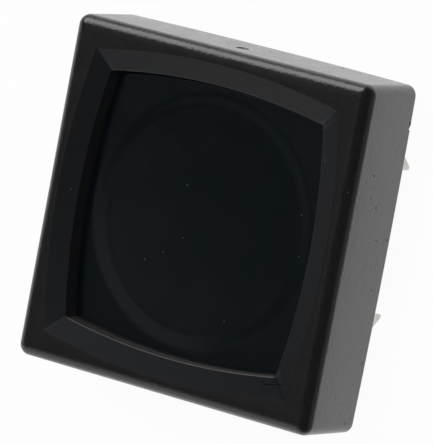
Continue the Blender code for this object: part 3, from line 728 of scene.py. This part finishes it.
def frame_plastic():
    """Black plastic with a fine spark-eroded grain, smoother round the well, with some pits and dust."""
    material, shader = new_material("frame_plastic", 0.27, ior=1.8)
    tree = material.node_tree
    attribute = tree.nodes.new("ShaderNodeAttribute")
    attribute.attribute_name = "smooth_slope"
    slope = attribute.outputs["Fac"]
    grain = noise(tree, 0.15 * MM, detail=3.0, roughness=0.6)
    cloud = noise(tree, 1.4 * MM, detail=3.0)
    on_walls = ranged(tree, height(tree), 1.0, 0.0, EDGE_BOTTOM, DEPTH - 0.3 * EDGE_RADIUS)
    pitted = maths(tree, "MULTIPLY", pits(tree, 0.7 * MM, 0.15, 0.3), on_walls)
    textured = ranged(tree, slope, 1.0, 0.25)
    tree.links.new(frame_colour(tree, slope, cloud), shader.inputs["Base Color"])
    tree.links.new(frame_roughness(tree, slope, grain, cloud, pitted), shader.inputs["Roughness"])
    bumped(tree, shader, maths(tree, "MULTIPLY", grain, textured), 0.016 * MM)
    bumped(tree, shader, pitted, -0.05 * MM)
    bumped(tree, shader, maths(tree, "MULTIPLY", noise(tree, 0.4 * MM, detail=1.0), textured), 0.014 * MM)
    shader.inputs["Sheen Weight"].default_value = 0.12
    shader.inputs["Sheen Roughness"].default_value = 0.4
    shader.inputs["Sheen Tint"].default_value = (1.0, 0.965, 0.965, 1.0)
    return material


def cap_plastic():
    """Smooth blue-black plastic with a light polish, fine pits and a little dust."""
    material, shader = new_material("cap_plastic", 0.2, ior=1.6)
    tree = material.node_tree
    cloud = ranged(tree, noise(tree, 3.5 * MM, detail=2.0), 0.0, 1.0, 0.35, 0.65)
    colour = mixed(tree, cloud, (0.0008, 0.0038, 0.0052), (0.0028, 0.0039, 0.0064))
    dust = specks(tree, CAP_DUST, 0.06 * MM)
    colour = mixed(tree, maths(tree, "MULTIPLY", dust, 0.28), colour, (0.3, 0.3, 0.3))
    tree.links.new(colour, shader.inputs["Base Color"])
    tree.links.new(ranged(tree, noise(tree, 0.8 * MM), 0.18, 0.23, 0.3, 0.7), shader.inputs["Roughness"])
    bumped(tree, shader, noise(tree, 1.6 * MM, detail=1.0), 0.002 * MM)
    bumped(tree, shader, noise(tree, 0.12 * MM), 0.0012 * MM)
    return material


def plunger_plastic():
    """Natural moulded acetal, with faint flow lines out from its middle."""
    material, shader = new_material("plunger_plastic", 0.42, ior=1.48)
    tree = material.node_tree
    flow = noise(tree, 0.7 * MM, detail=3.0, stretch=(4.0, 4.0, 1.0))
    tree.links.new(mixed(tree, flow, (0.56, 0.55, 0.51), (0.64, 0.63, 0.59)), shader.inputs["Base Color"])
    tree.links.new(ranged(tree, flow, 0.34, 0.5, 0.3, 0.7), shader.inputs["Roughness"])
    bumped(tree, shader, noise(tree, 0.12 * MM), 0.003 * MM)
    return material


def base_plastic():
    """Glass-filled black plastic: a matte skin in which short fibres show as paler flecks."""
    material, shader = new_material("base_plastic", 0.5, ior=1.55)
    tree = material.node_tree
    fibres = noise(tree, 0.09 * MM, detail=2.0, stretch=(3.5, 1.0, 1.0))
    crossing = noise(tree, 0.09 * MM, detail=2.0, stretch=(1.0, 3.5, 1.0))
    flecks = ranged(tree, maths(tree, "MAXIMUM", fibres, crossing), 0.0, 1.0, 0.62, 0.75)
    colour = mixed(tree, flecks, (0.010, 0.010, 0.011), (0.05, 0.05, 0.05))
    tree.links.new(colour, shader.inputs["Base Color"])
    tree.links.new(ranged(tree, fibres, 0.4, 0.6, 0.3, 0.7), shader.inputs["Roughness"])
    bumped(tree, shader, flecks, 0.004 * MM)
    bumped(tree, shader, noise(tree, 0.6 * MM), 0.01 * MM)
    return material


def sheet_metal(name, bright, dull, roughness, lines, grain):
    """Rolled or drawn metal: fine lines along one way, and duller patches."""
    material, shader = new_material(name, roughness, metallic=1.0)
    tree = material.node_tree
    patches = ranged(tree, noise(tree, 0.7 * MM, detail=4.0), 0.0, 1.0, 0.35, 0.65)
    streaks = noise(tree, grain, detail=2.0, stretch=lines)
    tree.links.new(mixed(tree, patches, dull, bright), shader.inputs["Base Color"])
    spread = ranged(tree, streaks, 0.75 * roughness, 1.3 * roughness, 0.3, 0.7)
    tree.links.new(spread, shader.inputs["Roughness"])
    bumped(tree, shader, streaks, 0.0025 * MM)
    return material


def tinned_brass():
    """Dull tin plating with a soft crystalline spangle over brass strip."""
    name, bright, dull = "tinned_brass", (0.66, 0.65, 0.63), (0.50, 0.49, 0.46)
    material = sheet_metal(name, bright, dull, 0.36, (1.0, 1.0, 8.0), 0.04 * MM)
    tree = material.node_tree
    bumped(tree, tree.nodes["Principled BSDF"], cells(tree, 0.22 * MM), 0.004 * MM)
    return material


# Studio


def floor_finish():
    """White paper that keeps the switch's shadow. The camera sees it nearly plain white, and so do
    reflections, but for them it gets dimmer towards its ends, and most on the right."""
    material = bpy.data.materials.new("floor_paper")
    material.use_nodes = True
    tree = material.node_tree
    tree.nodes.clear()
    out = tree.nodes.new("ShaderNodeOutputMaterial")
    mix = tree.nodes.new("ShaderNodeMixShader")
    paper = node(tree, "ShaderNodeBsdfDiffuse", color=(PAPER, PAPER, PAPER, 1.0))
    white = tree.nodes.new("ShaderNodeEmission")
    rays = tree.nodes.new("ShaderNodeLightPath")
    split = tree.nodes.new("ShaderNodeSeparateXYZ")
    tree.links.new(placed(tree), split.inputs[0])
    lit = None
    for axis, to, off, dim in PAPER_ENDS:
        end = ranged(tree, split.outputs[axis], 1.0, dim, to, off, smooth=True)
        lit = end if lit is None else maths(tree, "MULTIPLY", lit, end)
    tree.links.new(maths(tree, "MAXIMUM", rays.outputs["Is Camera Ray"], lit), white.inputs["Strength"])
    seen = maths(tree, "MULTIPLY", rays.outputs["Is Camera Ray"], PAPER_SEEN_WHITE)
    glossy, through = rays.outputs["Is Glossy Ray"], rays.outputs["Is Transmission Ray"]
    reflected = maths(tree, "ADD", glossy, through, clamp=True)
    tree.links.new(maths(tree, "ADD", seen, reflected, clamp=True), mix.inputs["Fac"])
    tree.links.new(paper.outputs[0], mix.inputs[1])
    tree.links.new(white.outputs[0], mix.inputs[2])
    tree.links.new(mix.outputs[0], out.inputs["Surface"])
    return material


def build_floor():
    bm = bmesh.new()
    bmesh.ops.create_grid(bm, x_segments=1, y_segments=1, size=FLOOR_REACH)
    floor = new_object("floor", mesh_from(bm, "floor"))
    floor.location.z = FLOOR_HEIGHT
    floor.data.materials.append(floor_finish())


def direction(azimuth, elevation):
    """Azimuth 0 is +X and 90 is +Y, and elevation 90 is straight out of the button's face."""
    a, e = math.radians(azimuth), math.radians(elevation)
    return Vector((math.cos(a) * math.cos(e), math.sin(a) * math.cos(e), math.sin(e)))


def build_world():
    """A dim room with some soft glows, and white where the camera looks past the floor."""
    world = bpy.data.worlds.new("studio")
    bpy.context.scene.world = world
    world.use_nodes = True
    tree = world.node_tree
    tree.nodes.clear()
    out = tree.nodes.new("ShaderNodeOutputWorld")
    mix = tree.nodes.new("ShaderNodeMixShader")
    white = tree.nodes.new("ShaderNodeBackground")
    room = tree.nodes.new("ShaderNodeBackground")
    way = tree.nodes.new("ShaderNodeTexCoord").outputs["Generated"]
    strength = ROOM_GLOW
    for azimuth, elevation, inner, outer, glow in ROOM_LIGHTS:
        near = vectors(tree, "DOT_PRODUCT", way, direction(azimuth, elevation))
        limits = [math.cos(math.radians(angle)) for angle in (outer, inner)]
        strength = maths(tree, "ADD", ranged(tree, near, 0.0, glow, *limits, smooth=True), strength)
    tree.links.new(strength, room.inputs["Strength"])
    tree.links.new(tree.nodes.new("ShaderNodeLightPath").outputs["Is Camera Ray"], mix.inputs["Fac"])
    tree.links.new(room.outputs[0], mix.inputs[1])
    tree.links.new(white.outputs[0], mix.inputs[2])
    tree.links.new(mix.outputs[0], out.inputs["Surface"])


def area_lamp(name, azimuth, elevation, width, height, radiance, reflected=True):
    """A soft box that faces the switch. Radiance 1 is white."""
    out = direction(azimuth, elevation)
    data = bpy.data.lights.new(name, "AREA")
    data.shape = "RECTANGLE"
    data.size = width
    data.size_y = height
    data.energy = radiance * math.pi * width * height
    lamp = bpy.data.objects.new(name, data)
    bpy.context.scene.collection.objects.link(lamp)
    lamp.location = Vector((0, 0, DEPTH)) + out * LAMP_DISTANCE
    lamp.rotation_euler = out.to_track_quat("Z", "Y").to_euler()
    lamp.visible_glossy = reflected


def build_lamps():
    area_lamp("key_box", azimuth=125.0, elevation=21.0, width=0.5, height=0.38, radiance=2.35)
    area_lamp("fill_box", azimuth=60.0, elevation=70.0, width=0.5, height=0.5, radiance=3.0, reflected=False)


def build_camera():
    data = bpy.data.cameras.new("camera")
    data.lens = CAMERA_LENS
    camera = bpy.data.objects.new("camera", data)
    bpy.context.scene.collection.objects.link(camera)
    up = CAMERA_BACK.cross(CAMERA_RIGHT).normalized()
    right = up.cross(CAMERA_BACK)
    turn = Matrix((right, up, CAMERA_BACK)).transposed()
    camera.matrix_world = Matrix.Translation(CAMERA_TARGET + CAMERA_BACK * CAMERA_DISTANCE) @ turn.to_4x4()
    data.clip_start = 0.001
    data.clip_end = 10.0
    bpy.context.scene.camera = camera


def keep_node(name, material):
    thing = frame["nodes"][name]
    thing.data.materials.clear()
    thing.data.materials.append(material)


def build_springs():
    bright, dull = (0.54, 0.54, 0.55), (0.42, 0.42, 0.42)
    steel = sheet_metal("spring_steel", bright, dull, 0.28, (3.0, 3.0, 1.0), 0.03 * MM)
    build_spring("return_spring", "coil", "housing", steel)
    for row in ROWS:
        name = "contact_spring_" + row
        build_spring(name, "leaf", "button", steel)


def finish_cad_nodes():
    """The pieces whose CAD shape is kept: the plunger, the bridges and the contacts."""
    silver, tarnished = (0.86, 0.85, 0.82), (0.72, 0.68, 0.6)
    bronze, browned = (0.74, 0.50, 0.28), (0.60, 0.38, 0.2)
    finishes = {
        "plunger_plastic": plunger_plastic(),
        "contact_silver": sheet_metal("contact_silver", silver, tarnished, 0.25, (1.0, 1.0, 1.0), 0.05 * MM),
        "spring_bronze": sheet_metal("spring_bronze", bronze, browned, 0.3, (12.0, 1.0, 1.0), 0.03 * MM),
    }
    for part in frame["record"]["subparts"]:
        if part["material_slot"] in finishes:
            keep_node(part["node"], finishes[part["material_slot"]])


def build():
    build_bezel(frame_plastic())
    build_cap(cap_plastic())
    build_base(base_plastic())
    tin = tinned_brass()
    for name in TERMINALS:
        build_terminal(name, tin)
    build_springs()
    finish_cad_nodes()


build()
build_floor()
build_world()
build_lamps()
build_camera()
bpy.context.scene.view_settings.view_transform = "Standard"
